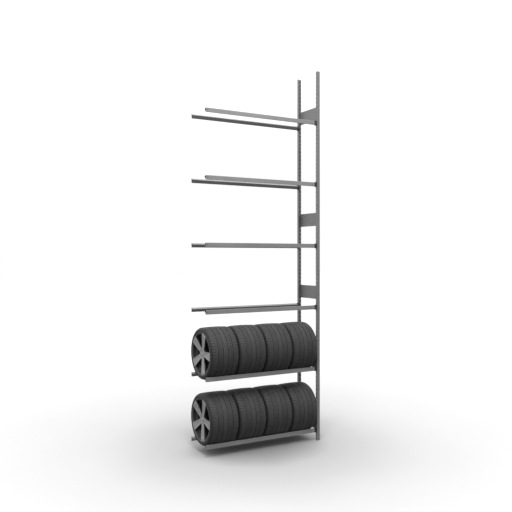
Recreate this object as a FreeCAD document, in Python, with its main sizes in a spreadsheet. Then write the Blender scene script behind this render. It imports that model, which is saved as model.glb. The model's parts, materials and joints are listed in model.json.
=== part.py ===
"""Add-on bay of a boltless wheel and tyre rack, loaded with two rows of wheels (millimetres).

The frame stands with its origin on the floor under the middle of the bay: +X runs along the
beams towards the end frame, +Y to the back and +Z up. The bay has one end frame of two posts
at its right, and six levels of paired beams whose left ends are sockets for the next bay.
"""
import FreeCAD, Part
import math
import os

import Sketcher

Vector = FreeCAD.Vector

SHEET_NAME = "Sizes"
# Lengths closer than this are the same length.
TOUCH = 0.01

# ---------------------------------------------------------------- driving dimensions

SIZES = {
    # end frame
    "rack_height": 4500,
    "frame_depth": 444,
    "post_width": 38,
    "post_depth": 32,
    "post_wall": 2,
    "post_lip": 9,
    "slot_width": 6,
    "slot_length": 16,
    "slot_inset": 11,
    "slot_pitch": 50,
    "slot_first": 47,
    "foot_sole": 3,
    "foot_plug": 45,
    "plug_play": 0.4,
    # tie plates across the end frame
    "plate_height": 162,
    "plate_thick": 2,
    "plate_corner": 8,
    "plate_first": 200,
    "plate_second": 950,
    "plate_middle": 1800,
    "plate_from_top": 500,
    "bolt_inset": 22,
    "bolt_rise": 55,
    "bolt_radius": 4,
    "bolt_play": 0.3,
    "bolt_head_radius": 8,
    "bolt_head": 4,
    "bolt_end": 3,
    "nut_across": 13,
    "nut_thick": 6,
    "thread_play": 0.05,
    # beams: heights and depth are those of the section's sharp corners, before its bends
    "bay_reach": 1480,
    "beam_gap": 24,
    "beam_inset": 22,
    "beam_height": 58,
    "beam_depth": 39,
    "beam_nose": 41.5,
    "beam_middle": 31,
    "beam_wall": 2,
    "beam_bend": 4,
    "beam_lowest": 91,
    "level_pitch": 750,
    # beam brackets and their clips
    "bracket_thick": 3,
    "bracket_height": 58,
    "bracket_width": 32,
    "bracket_reach": 45,
    "bracket_leg": 28,
    "bracket_play": 0.3,
    "hook_thick": 4,
    "hook_height": 9,
    "hook_drop": 6,
    "hook_grip": 4,
    "clip_length": 12,
    "clip_height": 6,
    "clip_setback": 20,
    "clip_play": 0.2,
    "clip_head": 2,
    "clip_rim": 3,
    # wheels
    "wheel_radius": 300,
    "wheel_width": 351,
    "wheel_pitch": 357,
    "wheel_play": 0.4,
    "row_end": 33,
    "tread_wall": 13,
    "side_wall": 11,
    "shoulder": 26,
    "shoulder_taper": 6,
    "groove_width": 10,
    "groove_depth": 8,
    "groove_pitch": 62,
    "bead_width": 18,
    "bead_play": 0.3,
    "rim_radius": 246,
    "rim_inset": 2,
    "flange": 7,
    "bead_radius": 232,
    "seat_width": 27,
    "well_slope": 20,
    "well_radius": 206,
    "rim_wall": 8,
    "wall_ease": 2,
    "hub_radius": 62,
    "hub_depth": 60,
    "hub_recess": 20,
    "bore_radius": 32,
    "lug_circle": 46,
    "lug_radius": 7,
    "spoke_root": 28,
    "spoke_tip": 50,
    "spoke_thick": 28,
    "spoke_foot": 45,
    "spoke_over": 2,
    "dish_edge": 6,
    "valve_radius": 4,
    "valve_circle": 212,
    "valve_setback": 14,
    "valve_length": 44,
    "valve_cap_radius": 5,
    "valve_cap_length": 11,
    "valve_hole_reach": 80,
    # how far the outline of a cut stands past the faces that it cuts
    "cut_past": 8,
}

LEVELS = 6
LOADED_LEVELS = 2
WHEELS_PER_LEVEL = 4
GROOVES = 4
SPOKES = 5
HEX_CORNERS = 6
# How far each level's first wheel is rolled, and the turn from one wheel to the next, in degrees.
FIRST_ROLL = (23.0, 20.0)
ROLL_STEP = 31.0

doc = FreeCAD.newDocument("tyre_rack_bay")
sheet = doc.addObject("Spreadsheet::Sheet", SHEET_NAME)


def fill_sheet():
    """Write every driving dimension to the sheet, one row each, with its name as alias."""
    for row, (alias, value) in enumerate(SIZES.items(), start=1):
        sheet.set(f"A{row}", alias)
        sheet.set(f"B{row}", str(value))
        sheet.setAlias(f"B{row}", alias)
    doc.recompute()


class Size:
    """A length worked out from the sheet: its value, and the expression that keeps it."""

    def __init__(self, value, text):
        self.value = value
        self.text = text

    def combine(self, other, sign, value):
        return Size(value, f"({self.text} {sign} {other.text})")

    def __add__(self, other):
        other = as_size(other)
        return self.combine(other, "+", self.value + other.value)

    def __sub__(self, other):
        other = as_size(other)
        return self.combine(other, "-", self.value - other.value)

    def __mul__(self, factor):
        return Size(self.value * factor, f"({self.text} * {factor})")

    def __truediv__(self, divisor):
        return Size(self.value / divisor, f"({self.text} / {divisor})")

    def __neg__(self):
        return self * -1


def as_size(value):
    return value if isinstance(value, Size) else Size(float(value), str(float(value)))


def cell(alias):
    return Size(float(SIZES[alias]), f"{SHEET_NAME}.{alias}")


def bind(thing, prop, length):
    """Set a property, and keep it on the sheet with an expression."""
    thing.setExpression(prop, as_size(length).text)


def place(thing, x=0.0, y=0.0, z=0.0, turn=0.0, axis=Vector(0, 0, 1)):
    """Give a sub-part its placement: turned about an axis, then moved to sizes of the sheet."""
    thing.Placement = FreeCAD.Placement(Vector(0, 0, 0), FreeCAD.Rotation(axis, turn))
    for prop, length in (("x", x), ("y", y), ("z", z)):
        bind(thing, f"Placement.Base.{prop}", length)


# ---------------------------------------------------------------- sketches and features

# A sketch's origin, and the points of its lines and circles, as its constraints number them.
ORIGIN = (-1, 1)
LINE_START, LINE_END, CENTRE = 1, 2, 3
# A body's origin planes, by the letters of the axes that they hold.
PLANES = {"XY": "XY_Plane", "XZ": "XZ_Plane", "YZ": "YZ_Plane"}


def new_body(name):
    body = doc.addObject("PartDesign::Body", name)
    body.Label = name
    return body


def origin_plane(body, plane):
    for feature in body.Origin.OriginFeatures:
        if feature.Role == PLANES[plane]:
            return feature
    raise ValueError(plane)


def new_sketch(body, plane, offset):
    sketch = body.newObject("Sketcher::SketchObject", f"{body.Name}_sketch")
    sketch.AttachmentSupport = [(origin_plane(body, plane), "")]
    sketch.MapMode = "FlatFace"
    bind(sketch, "AttachmentOffset.Base.z", offset)
    return sketch


def hold(sketch, kind, where, length):
    """Fix a distance from the origin or a radius, and keep it on the sheet."""
    number = sketch.addConstraint(Sketcher.Constraint(kind, *where, length.value))
    name = f"{kind}_{number}"
    sketch.renameConstraint(number, name)
    sketch.setExpression(f"Constraints.{name}", length.text)


def outline_sketch(body, plane, outlines, offset=0.0):
    """A sketch of closed outlines on an origin plane, every corner held by the sheet."""
    sketch = new_sketch(body, plane, offset)
    for outline in outlines:
        add_outline(sketch, outline)
    return sketch


def add_outline(sketch, outline):
    corners = [(as_size(u), as_size(v)) for u, v in outline]
    points = [Vector(u.value, v.value, 0) for u, v in corners]
    first = sketch.GeometryCount
    lines = [Part.LineSegment(a, b) for a, b in zip(points, points[1:] + points[:1])]
    sketch.addGeometry(lines, False)
    count = len(lines)
    for index in range(count):
        follower = first + (index + 1) % count
        joint = Sketcher.Constraint("Coincident", first + index, LINE_END, follower, LINE_START)
        sketch.addConstraint(joint)
    for index, (u, v) in enumerate(corners):
        hold(sketch, "DistanceX", (*ORIGIN, first + index, LINE_START), u)
        hold(sketch, "DistanceY", (*ORIGIN, first + index, LINE_START), v)


def box_outline(u_low, v_low, u_high, v_high):
    return [(u_low, v_low), (u_high, v_low), (u_high, v_high), (u_low, v_high)]


def centred_box(u, v, width, height):
    u, v = as_size(u), as_size(v)
    return box_outline(u - width / 2, v - height / 2, u + width / 2, v + height / 2)


def circle_sketch(body, plane, circles, offset=0.0):
    """A sketch of circles, each (u, v, radius), held by the sheet."""
    sketch = new_sketch(body, plane, offset)
    for circle in circles:
        u, v, radius = (as_size(length) for length in circle)
        outline = Part.Circle(Vector(u.value, v.value, 0), Vector(0, 0, 1), radius.value)
        ring = sketch.addGeometry(outline, False)
        hold(sketch, "DistanceX", (*ORIGIN, ring, CENTRE), u)
        hold(sketch, "DistanceY", (*ORIGIN, ring, CENTRE), v)
        hold(sketch, "Radius", (ring,), radius)
    return sketch


def pad(body, sketch, length, both_ways=False, backwards=False):
    """Raise a sketch along its normal, against it, or half of the length each way."""
    feature = body.newObject("PartDesign::Pad", f"{body.Name}_pad")
    feature.Profile = sketch
    feature.Midplane = both_ways
    feature.Reversed = backwards
    bind(feature, "Length", length)
    doc.recompute()
    return feature


def cut(body, kind, sketch, **settings):
    """A Pocket or Groove that must take material away; it is turned round if it doesn't."""
    before = body.Shape.Volume
    feature = body.newObject(kind, f"{body.Name}_cut")
    feature.Profile = sketch
    for prop, value in settings.items():
        if isinstance(value, Size):
            bind(feature, prop, value)
        else:
            setattr(feature, prop, value)
    doc.recompute()
    if body.Shape.Volume >= before:
        feature.Reversed = True
        doc.recompute()
    if body.Shape.Volume >= before:
        raise ValueError(f"{body.Label}: {kind} cut nothing")
    return feature


def cut_through(body, sketch, length=None):
    """Cut equally to both sides of the sketch: right through, or over a length."""
    if length is None:
        return cut(body, "PartDesign::Pocket", sketch, Type="ThroughAll", Midplane=True)
    return cut(body, "PartDesign::Pocket", sketch, Type="Length", Length=length, Midplane=True)


def revolve(body, sketch):
    """Turn a profile drawn on the XZ plane right round the body's X axis."""
    feature = body.newObject("PartDesign::Revolution", f"{body.Name}_turned")
    feature.Profile = sketch
    feature.ReferenceAxis = (sketch, ["H_Axis"])
    feature.Angle = 360
    doc.recompute()
    return feature


def row_pattern(body, feature, sketch, axis, length, occurrences):
    pattern = body.newObject("PartDesign::LinearPattern", f"{body.Name}_row")
    pattern.Originals = [feature]
    pattern.Direction = (sketch, [axis])
    bind(pattern, "Length", length)
    pattern.Occurrences = occurrences
    body.Tip = pattern
    doc.recompute()
    return pattern


def ring_pattern(body, feature, sketch, occurrences):
    """Repeat a feature round the body's X axis, which is the sketch's normal on YZ."""
    pattern = body.newObject("PartDesign::PolarPattern", f"{body.Name}_ring")
    pattern.Originals = [feature]
    pattern.Axis = (sketch, ["N_Axis"])
    pattern.Angle = 360
    pattern.Occurrences = occurrences
    body.Tip = pattern
    doc.recompute()
    return pattern


def fillet(body, base, edges, radius):
    feature = body.newObject("PartDesign::Fillet", f"{body.Name}_rounding")
    feature.Base = (base, edges)
    bind(feature, "Radius", radius)
    doc.recompute()
    return feature


def edge_names(shape, wanted):
    return [f"Edge{number}" for number, edge in enumerate(shape.Edges, start=1) if wanted(edge)]


def face_names(shape, wanted):
    return [f"Face{number}" for number, face in enumerate(shape.Faces, start=1) if wanted(face)]


def is_length(edge, length):
    return abs(edge.Length - length.value) < TOUCH


def is_ring(edge, radius):
    """Whether an edge is a circle of this radius."""
    return edge.Curve.TypeId == "Part::GeomCircle" and abs(edge.Curve.Radius - radius.value) < TOUCH


def is_end_face(face):
    return abs(abs(face.normalAt(0, 0).x) - 1) < TOUCH


def group(label, pattern_piece, placements):
    """Identical small pieces as separate solids of one sub-part."""
    node = doc.addObject("Part::Feature", label)
    node.Label = label
    copies = [pattern_piece.Shape.transformed(place_.toMatrix()) for place_ in placements]
    node.Shape = Part.makeCompound(copies)
    return node


# ---------------------------------------------------------------- derived places

# The overall length runs from the beams' left ends to the tie bolts' heads.
total_length = cell("bay_reach") + cell("post_width") + cell("plate_thick") + cell("bolt_head")
left_end = -total_length / 2
frame_inner = left_end + cell("bay_reach")
beam_end = frame_inner - cell("beam_gap")
post_middle = frame_inner + cell("post_width") / 2
web_plane = cell("frame_depth") / 2 - cell("beam_inset")
plate_heights = (
    cell("plate_first"),
    cell("plate_second"),
    cell("plate_middle"),
    cell("rack_height") - cell("plate_middle"),
    cell("rack_height") - cell("plate_from_top"),
)
SIDES = (("front", -1), ("rear", 1))


def beam_bottom(level):
    """Underside of a level's beams; level 1 is the lowest."""
    return cell("beam_lowest") + cell("level_pitch") * (level - 1)


# ---------------------------------------------------------------- end frame

def make_post(label, side):
    """A cold-rolled C post, open towards the middle of the rack, slotted on both flanks."""
    body = new_body(label)
    half = cell("post_width") / 2
    wall = cell("post_wall")
    depth = cell("post_depth")
    lip = half - cell("post_lip")
    # Drawn with its closed face on the sketch's x axis and its mouth at v = depth.
    section = [
        (-half, 0), (half, 0), (half, depth), (lip, depth), (lip, depth - wall),
        (half - wall, depth - wall), (half - wall, wall), (-half + wall, wall),
        (-half + wall, depth - wall), (-lip, depth - wall), (-lip, depth), (-half, depth),
    ]
    profile = outline_sketch(body, "XY", [section], cell("foot_sole"))
    pad(body, profile, cell("rack_height") - cell("foot_sole"))
    slot = centred_box(cell("slot_inset"), cell("slot_first"), cell("slot_width"), cell("slot_length"))
    slot_sketch = outline_sketch(body, "YZ", [slot])
    slots = cut_through(body, slot_sketch)
    count = int((SIZES["rack_height"] - SIZES["slot_first"]) // SIZES["slot_pitch"])
    row_pattern(body, slots, slot_sketch, "V_Axis", cell("slot_pitch") * (count - 1), count)
    # The tie plates are bolted to the flank that faces out of the bay.
    outer = -side
    holes = [(cell("bolt_inset"), height + cell("bolt_rise") * rise, cell("bolt_radius") + cell("bolt_play"))
             for height in plate_heights for rise in (-1, 1)]
    cut_through(body, circle_sketch(body, "YZ", holes, half * outer), cell("post_depth"))
    stand_at_post(body, side)
    return body


def stand_at_post(body, side):
    """Place a piece drawn like a front post; the rear one is turned half round."""
    place(body, post_middle, cell("frame_depth") / 2 * side, 0, 180.0 if side > 0 else 0.0)


def make_foot(label, side):
    """A moulded foot: a sole of the post's own outline, and a plug inside the post."""
    body = new_body(label)
    half = cell("post_width") / 2
    play = cell("post_wall") + cell("plug_play")
    sole = box_outline(-half, 0, half, cell("post_depth"))
    pad(body, outline_sketch(body, "XY", [sole]), cell("foot_sole"))
    plug = box_outline(-half + play, play, half - play, cell("post_depth") - play)
    pad(body, outline_sketch(body, "XY", [plug]), cell("foot_plug"))
    stand_at_post(body, side)
    return body


def make_tie_plate(label, height):
    """A sheet plate bolted across the outer flanks of both posts."""
    body = new_body(label)
    half_depth = cell("frame_depth") / 2 - cell("post_wall") * 2
    half_height = cell("plate_height") / 2
    sheet_outline = box_outline(-half_depth, -half_height, half_depth, half_height)
    plate = pad(body, outline_sketch(body, "YZ", [sheet_outline]), cell("plate_thick"))
    corners = edge_names(plate.Shape, lambda edge: is_length(edge, cell("plate_thick")))
    fillet(body, plate, corners, cell("plate_corner"))
    bolt_y = cell("frame_depth") / 2 - cell("bolt_inset")
    holes = [(bolt_y * side, cell("bolt_rise") * rise, cell("bolt_radius") + cell("bolt_play"))
             for side in (-1, 1) for rise in (-1, 1)]
    cut_through(body, circle_sketch(body, "YZ", holes))
    place(body, frame_inner + cell("post_width"), 0, height)
    return body


def tie_bolt_places():
    """Where the tie bolts' axes meet the tie plates' outer faces."""
    x = (frame_inner + cell("post_width") + cell("plate_thick")).value
    bolt_y = (cell("frame_depth") / 2 - cell("bolt_inset")).value
    rise_z = SIZES["bolt_rise"]
    return [FreeCAD.Placement(Vector(x, bolt_y * side, height.value + rise_z * rise), FreeCAD.Rotation())
            for height in plate_heights for side in (-1, 1) for rise in (-1, 1)]


def make_tie_bolt():
    """A round-headed bolt, drawn with its head on +X and its shank through plate and post."""
    body = new_body("tie_bolt_piece")
    grip = cell("plate_thick") + cell("post_wall")
    shank = circle_sketch(body, "YZ", [(0, 0, cell("bolt_radius"))])
    pad(body, shank, grip + cell("nut_thick") + cell("bolt_end"), backwards=True)
    head = circle_sketch(body, "YZ", [(0, 0, cell("bolt_head_radius"))])
    head_pad = pad(body, head, cell("bolt_head"))
    crown = edge_names(head_pad.Shape, lambda edge: edge.CenterOfMass.x > SIZES["bolt_head"] - TOUCH)
    fillet(body, head_pad, crown, cell("bolt_head") / 2)
    return body


def make_tie_nut():
    """A hexagon nut inside the post."""
    body = new_body("tie_nut_piece")
    corner = cell("nut_across") / math.sqrt(3)
    turns = [math.tau * (step + 0.5) / HEX_CORNERS for step in range(HEX_CORNERS)]
    hexagon = [(corner * math.cos(turn), corner * math.sin(turn)) for turn in turns]
    seat = -cell("plate_thick") - cell("post_wall")
    pad(body, outline_sketch(body, "YZ", [hexagon], seat), cell("nut_thick"), backwards=True)
    thread = circle_sketch(body, "YZ", [(0, 0, cell("bolt_radius") + cell("thread_play"))], seat)
    cut_through(body, thread)
    return body


# ---------------------------------------------------------------- beams

def clip_window(centre_x):
    """The window for a locking clip, half way up a beam's web."""
    return centred_box(centre_x, cell("beam_middle"), cell("clip_length"), cell("clip_height"))


def make_beam(label, level, side):
    """A rolled triangular beam: outer web, sloped seat for the tyres and sloped underside."""
    body = new_body(label)
    section = [(0, 0), (0, cell("beam_height")), (cell("beam_depth"), cell("beam_nose"))]
    length = beam_end - left_end
    beam = pad(body, outline_sketch(body, "YZ", [section]), length)
    bends = edge_names(beam.Shape, lambda edge: is_length(edge, length))
    rounded = fillet(body, beam, bends, cell("beam_bend"))
    skin = body.newObject("PartDesign::Thickness", f"{label}_skin")
    skin.Base = (rounded, face_names(rounded.Shape, is_end_face))
    bind(skin, "Value", cell("beam_wall"))
    skin.Reversed = True
    doc.recompute()
    windows = [clip_window(cell("clip_setback")), clip_window(length - cell("clip_setback"))]
    cut_through(body, outline_sketch(body, "XZ", windows), cell("beam_wall") + cell("cut_past"))
    if side < 0:
        place(body, left_end, -web_plane, beam_bottom(level))
    else:
        place(body, beam_end, web_plane, beam_bottom(level), 180.0)
    return body


def make_bracket(side):
    """A beam bracket: end plate on the post's flank, leg inside the beam, and two hooks.

    It is drawn with its x from the beam's end to the post, and handed for front or rear.
    """
    body = new_body("front_bracket_piece" if side < 0 else "rear_bracket_piece")
    inward = -side
    thick = cell("bracket_thick")
    gap = cell("beam_gap")
    middle = cell("beam_middle")
    low, high = middle - cell("bracket_height") / 2, middle + cell("bracket_height") / 2
    slot_y = (cell("slot_inset") - cell("beam_inset")) * inward
    outer_y = slot_y - cell("slot_width") * inward
    end_outline = box_outline(outer_y, low, cell("bracket_width") * inward, high)
    pad(body, outline_sketch(body, "YZ", [end_outline], gap - thick), thick)
    leg_low, leg_high = middle - cell("bracket_leg") / 2, middle + cell("bracket_leg") / 2
    shoulder_x = cell("bracket_play")
    leg = [
        (gap - thick, low), (gap - thick, high), (shoulder_x, high), (shoulder_x, leg_high),
        (-cell("bracket_reach"), leg_high), (-cell("bracket_reach"), leg_low),
        (shoulder_x, leg_low), (shoulder_x, low),
    ]
    leg_y = (cell("beam_wall") + cell("bracket_play")) * inward
    leg_sketch = outline_sketch(body, "XZ", [leg], -leg_y)
    pad(body, leg_sketch, thick, backwards=inward > 0)
    window = outline_sketch(body, "XZ", [clip_window(-cell("clip_setback"))], -leg_y)
    cut_through(body, window, thick + cell("cut_past"))
    hooks = [hook_outline(middle + cell("slot_pitch") / 2 * rise) for rise in (-1, 1)]
    hook_sketch = outline_sketch(body, "XZ", hooks, -slot_y)
    pad(body, hook_sketch, cell("hook_thick"), both_ways=True)
    return body


def hook_outline(slot_middle):
    """One hook: a tongue through the post's slot, and a tip that drops behind the flank."""
    post_face = cell("beam_gap")
    foot = slot_middle - cell("slot_length") / 2
    behind = post_face + cell("post_wall") + cell("bracket_play")
    tip = behind + cell("hook_grip")
    top = foot + cell("hook_height")
    drop = foot - cell("hook_drop")
    return [(post_face, foot), (behind, foot), (behind, drop), (tip, drop), (tip, top), (post_face, top)]


def make_clip():
    """A locking clip: a flat head on the web's outside and a shank through web and bracket."""
    body = new_body("clip_piece")
    play = cell("clip_play")
    rim = cell("clip_rim")
    length, height = cell("clip_length"), cell("clip_height")
    head = centred_box(0, 0, length + rim * 2, height + rim * 2)
    pad(body, outline_sketch(body, "XZ", [head]), cell("clip_head"))
    shank = centred_box(0, 0, length - play * 2, height - play * 2)
    reach = cell("beam_wall") + cell("bracket_play") + cell("bracket_thick") + rim
    pad(body, outline_sketch(body, "XZ", [shank]), reach, backwards=True)
    return body


def beam_places(side, x):
    """Where each level's beam has a fitting: at x along it, on the web's outer face."""
    return [Vector(x.value, web_plane.value * side, beam_bottom(level).value)
            for level in range(1, LEVELS + 1)]


def bracket_places(side):
    return [FreeCAD.Placement(point, FreeCAD.Rotation()) for point in beam_places(side, beam_end)]


def clip_places():
    """Every beam is locked near the end frame; rear clips are turned to face the back."""
    half_up = Vector(0, 0, SIZES["beam_middle"])
    places = []
    for side, turn in ((-1, 0.0), (1, 180.0)):
        rotation = FreeCAD.Rotation(Vector(0, 0, 1), turn)
        for point in beam_places(side, beam_end - cell("clip_setback")):
            places.append(FreeCAD.Placement(point + half_up, rotation))
    return places


# ---------------------------------------------------------------- wheels

half_width = cell("wheel_width") / 2
face_x = cell("rim_inset") - half_width


def both_sides(points):
    """An outline across the wheel from its right half: the same points mirrored to the left."""
    return points + [(-as_size(x), radius) for x, radius in reversed(points)]


def make_tyre():
    """A wide low-profile tyre: hollow carcass, beads, rounded shoulders and tread grooves."""
    body = new_body("tyre_piece")
    crown = cell("wheel_radius")
    bead_x = half_width - cell("rim_inset") - cell("flange") - cell("bead_play")
    bead_r = cell("bead_radius") + cell("bead_play")
    over_flange = cell("rim_radius") + cell("bead_play") * 2
    toe_x = bead_x - cell("bead_width")
    inner_x = half_width - cell("side_wall")
    liner = crown - cell("tread_wall")
    widest = (crown + over_flange) / 2
    outside = [
        (toe_x, bead_r), (bead_x, bead_r), (bead_x, over_flange),
        (half_width - cell("rim_inset"), over_flange), (half_width, widest),
        (half_width - cell("shoulder_taper"), crown),
    ]
    inside = [
        (-(inner_x - cell("side_wall")), liner), (-inner_x, liner - cell("side_wall")),
        (-inner_x, widest - cell("side_wall")), (-toe_x, over_flange - cell("bead_width") / 2),
    ]
    inside_mirrored = [(-as_size(x), radius) for x, radius in reversed(inside)]
    outline = both_sides(outside) + list(reversed(inside)) + list(reversed(inside_mirrored))
    turned = revolve(body, outline_sketch(body, "XZ", [outline]))
    crown_edges = edge_names(turned.Shape, lambda edge: is_ring(edge, crown))
    fillet(body, turned, crown_edges, cell("shoulder"))
    first = -(GROOVES - 1) / 2
    grooves = [
        box_outline(cell("groove_pitch") * (first + number) - cell("groove_width") / 2,
                    crown - cell("groove_depth"),
                    cell("groove_pitch") * (first + number) + cell("groove_width") / 2,
                    crown + cell("groove_depth"))
        for number in range(GROOVES)
    ]
    sketch = outline_sketch(body, "XZ", grooves)
    cut(body, "PartDesign::Groove", sketch, ReferenceAxis=(sketch, ["H_Axis"]), Angle=360)
    return body


def make_rim():
    """The rim: a flanged barrel with a drop centre, holed for the valve."""
    body = new_body("rim_piece")
    outer_x = half_width - cell("rim_inset")
    flange_x = outer_x - cell("flange")
    seat_x = flange_x - cell("seat_width")
    well_x = seat_x - cell("well_slope")
    bead, well, wall = cell("bead_radius"), cell("well_radius"), cell("rim_wall")
    outside = [
        (well_x, well), (seat_x, bead), (flange_x, bead), (flange_x, cell("rim_radius")),
        (outer_x, cell("rim_radius")),
    ]
    ease = cell("wall_ease")
    inside = [(outer_x, bead - wall), (seat_x - ease, bead - wall), (well_x - ease, well - wall)]
    revolve(body, outline_sketch(body, "XZ", [both_sides(outside + inside)]))
    valve = circle_sketch(body, "YZ", [(*valve_axis(), cell("valve_radius") + cell("bolt_play"))], -well_x)
    cut_through(body, valve, cell("valve_hole_reach"))
    return body


def make_spokes():
    """The wheel's cast centre: recessed hub with bolt holes, and flared spokes out to the rim."""
    body = new_body("spokes_piece")
    past = cell("cut_past")
    hub = box_outline(face_x, cell("bore_radius"), face_x + cell("hub_depth"), cell("hub_radius"))
    revolve(body, outline_sketch(body, "XZ", [hub]))
    rim_inside = cell("bead_radius") - cell("rim_wall")
    tip_r = rim_inside + cell("spoke_over")
    spoke = [
        (-cell("spoke_root"), cell("spoke_foot")), (cell("spoke_root"), cell("spoke_foot")),
        (cell("spoke_tip"), tip_r), (-cell("spoke_tip"), tip_r),
    ]
    spoke_sketch = outline_sketch(body, "YZ", [spoke], face_x)
    spoke_pad = pad(body, spoke_sketch, cell("spoke_thick"))
    ring_pattern(body, spoke_pad, spoke_sketch, SPOKES)
    turned_off = box_outline(face_x - past, rim_inside, face_x + cell("spoke_thick") + past, tip_r + past)
    dish_r = rim_inside - cell("dish_edge")
    dish = [
        (face_x - past, 0), (face_x - past, dish_r), (face_x, dish_r),
        (face_x + cell("hub_recess"), cell("spoke_foot")), (face_x + cell("hub_recess"), 0),
    ]
    for outline in (turned_off, dish):
        sketch = outline_sketch(body, "XZ", [outline])
        cut(body, "PartDesign::Groove", sketch, ReferenceAxis=(sketch, ["H_Axis"]), Angle=360)
    lug = circle_sketch(body, "YZ", [(0, cell("lug_circle"), cell("lug_radius"))])
    ring_pattern(body, cut_through(body, lug), lug, SPOKES)
    return body


def valve_axis():
    """Where the valve's axis crosses the wheel's plane, half way between two spokes."""
    half_step = math.pi / SPOKES
    return cell("valve_circle") * -math.sin(half_step), cell("valve_circle") * math.cos(half_step)


def make_valve():
    """A straight valve stem with its screwed cap, through the slope of the rim's well."""
    body = new_body("valve_piece")
    start = face_x + cell("valve_setback")
    stem = circle_sketch(body, "YZ", [(*valve_axis(), cell("valve_radius"))], start)
    pad(body, stem, cell("valve_length"))
    cap = circle_sketch(body, "YZ", [(*valve_axis(), cell("valve_cap_radius"))], start)
    pad(body, cap, cell("valve_cap_length"))
    return body


def wheel_rise():
    """Height of a wheel's axis over its beams' underside, resting on their rounded noses."""
    height, depth, nose = SIZES["beam_height"], SIZES["beam_depth"], SIZES["beam_nose"]
    seat_slope = math.atan2(height - nose, depth)
    under_slope = math.atan2(nose, depth)
    half_angle = (seat_slope + under_slope) / 2
    to_centre = SIZES["beam_bend"] / math.sin(half_angle)
    lean = (seat_slope - under_slope) / 2
    nose_y = web_plane.value - (depth - to_centre * math.cos(lean))
    nose_z = nose + to_centre * math.sin(lean)
    reach = SIZES["wheel_radius"] + SIZES["beam_bend"] + SIZES["wheel_play"]
    return nose_z + math.sqrt(reach ** 2 - nose_y ** 2)


def wheel_place(level, column):
    """Level 1 is the lowest and column 1 the leftmost; wheels fill the row to the end frame."""
    pitch = cell("wheel_pitch") * (WHEELS_PER_LEVEL - column)
    x = frame_inner - cell("row_end") - half_width - pitch
    z = beam_bottom(level).value + wheel_rise()
    roll = FIRST_ROLL[level - 1] + ROLL_STEP * (column - 1)
    return FreeCAD.Placement(Vector(x.value, 0, z), FreeCAD.Rotation(Vector(1, 0, 0), roll))


def add_wheels():
    """Every wheel is the same four pieces, rolled to its own angle; its hub's bore stays open."""
    pieces = {"tyre": make_tyre(), "rim": make_rim(), "spokes": make_spokes(), "valve": make_valve()}
    nodes = []
    for level in range(1, LOADED_LEVELS + 1):
        for column in range(1, WHEELS_PER_LEVEL + 1):
            for kind, piece in pieces.items():
                node = doc.addObject("Part::Feature", f"wheel_{level}{column}_{kind}")
                node.Label = node.Name
                node.Shape = piece.Shape
                node.Placement = wheel_place(level, column)
                nodes.append(node)
    return nodes, list(pieces.values())


# ---------------------------------------------------------------- build, check and write

def build():
    fill_sheet()
    nodes = []
    for name, side in SIDES:
        nodes.append(make_post(f"{name}_post", side))
        nodes.append(make_foot(f"{name}_foot", side))
    for number, height in enumerate(plate_heights, start=1):
        nodes.append(make_tie_plate(f"tie_plate_{number}", height))
    patterns = [make_tie_bolt(), make_tie_nut(), make_bracket(-1), make_bracket(1), make_clip()]
    doc.recompute()
    bolt, nut, front_bracket, rear_bracket, clip = patterns
    nodes.append(group("tie_bolts", bolt, tie_bolt_places()))
    nodes.append(group("tie_nuts", nut, tie_bolt_places()))
    nodes.append(group("front_beam_brackets", front_bracket, bracket_places(-1)))
    nodes.append(group("rear_beam_brackets", rear_bracket, bracket_places(1)))
    nodes.append(group("beam_lock_clips", clip, clip_places()))
    for level in range(1, LEVELS + 1):
        for name, side in SIDES:
            nodes.append(make_beam(f"{name}_beam_{level}", level, side))
    wheel_nodes, wheel_patterns = add_wheels()
    return nodes + wheel_nodes, patterns + wheel_patterns


def check(nodes):
    doc.recompute()
    for thing in doc.Objects:
        if "Invalid" in thing.State or "Error" in thing.State:
            raise ValueError(f"{thing.Label} failed: {thing.State}")
    for node in nodes:
        if node.Shape.isNull() or not node.Shape.isValid() or not node.Shape.Solids:
            raise ValueError(f"{node.Label} has no valid solid")


def write(nodes):
    os.makedirs("parts", exist_ok=True)
    for node in nodes:
        node.Shape.exportStep(os.path.join("parts", f"{node.Label}.step"))


sub_parts, pattern_pieces = build()
check(sub_parts + pattern_pieces)
write(sub_parts)
print(f"{len(sub_parts)} sub-parts written")
print(f"a wheel's axis is {wheel_rise():.2f} mm over its beams' underside")
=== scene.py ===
import json
import math

import bmesh
import bpy
import numpy as np
from mathutils import Matrix, Vector, geometry

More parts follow.
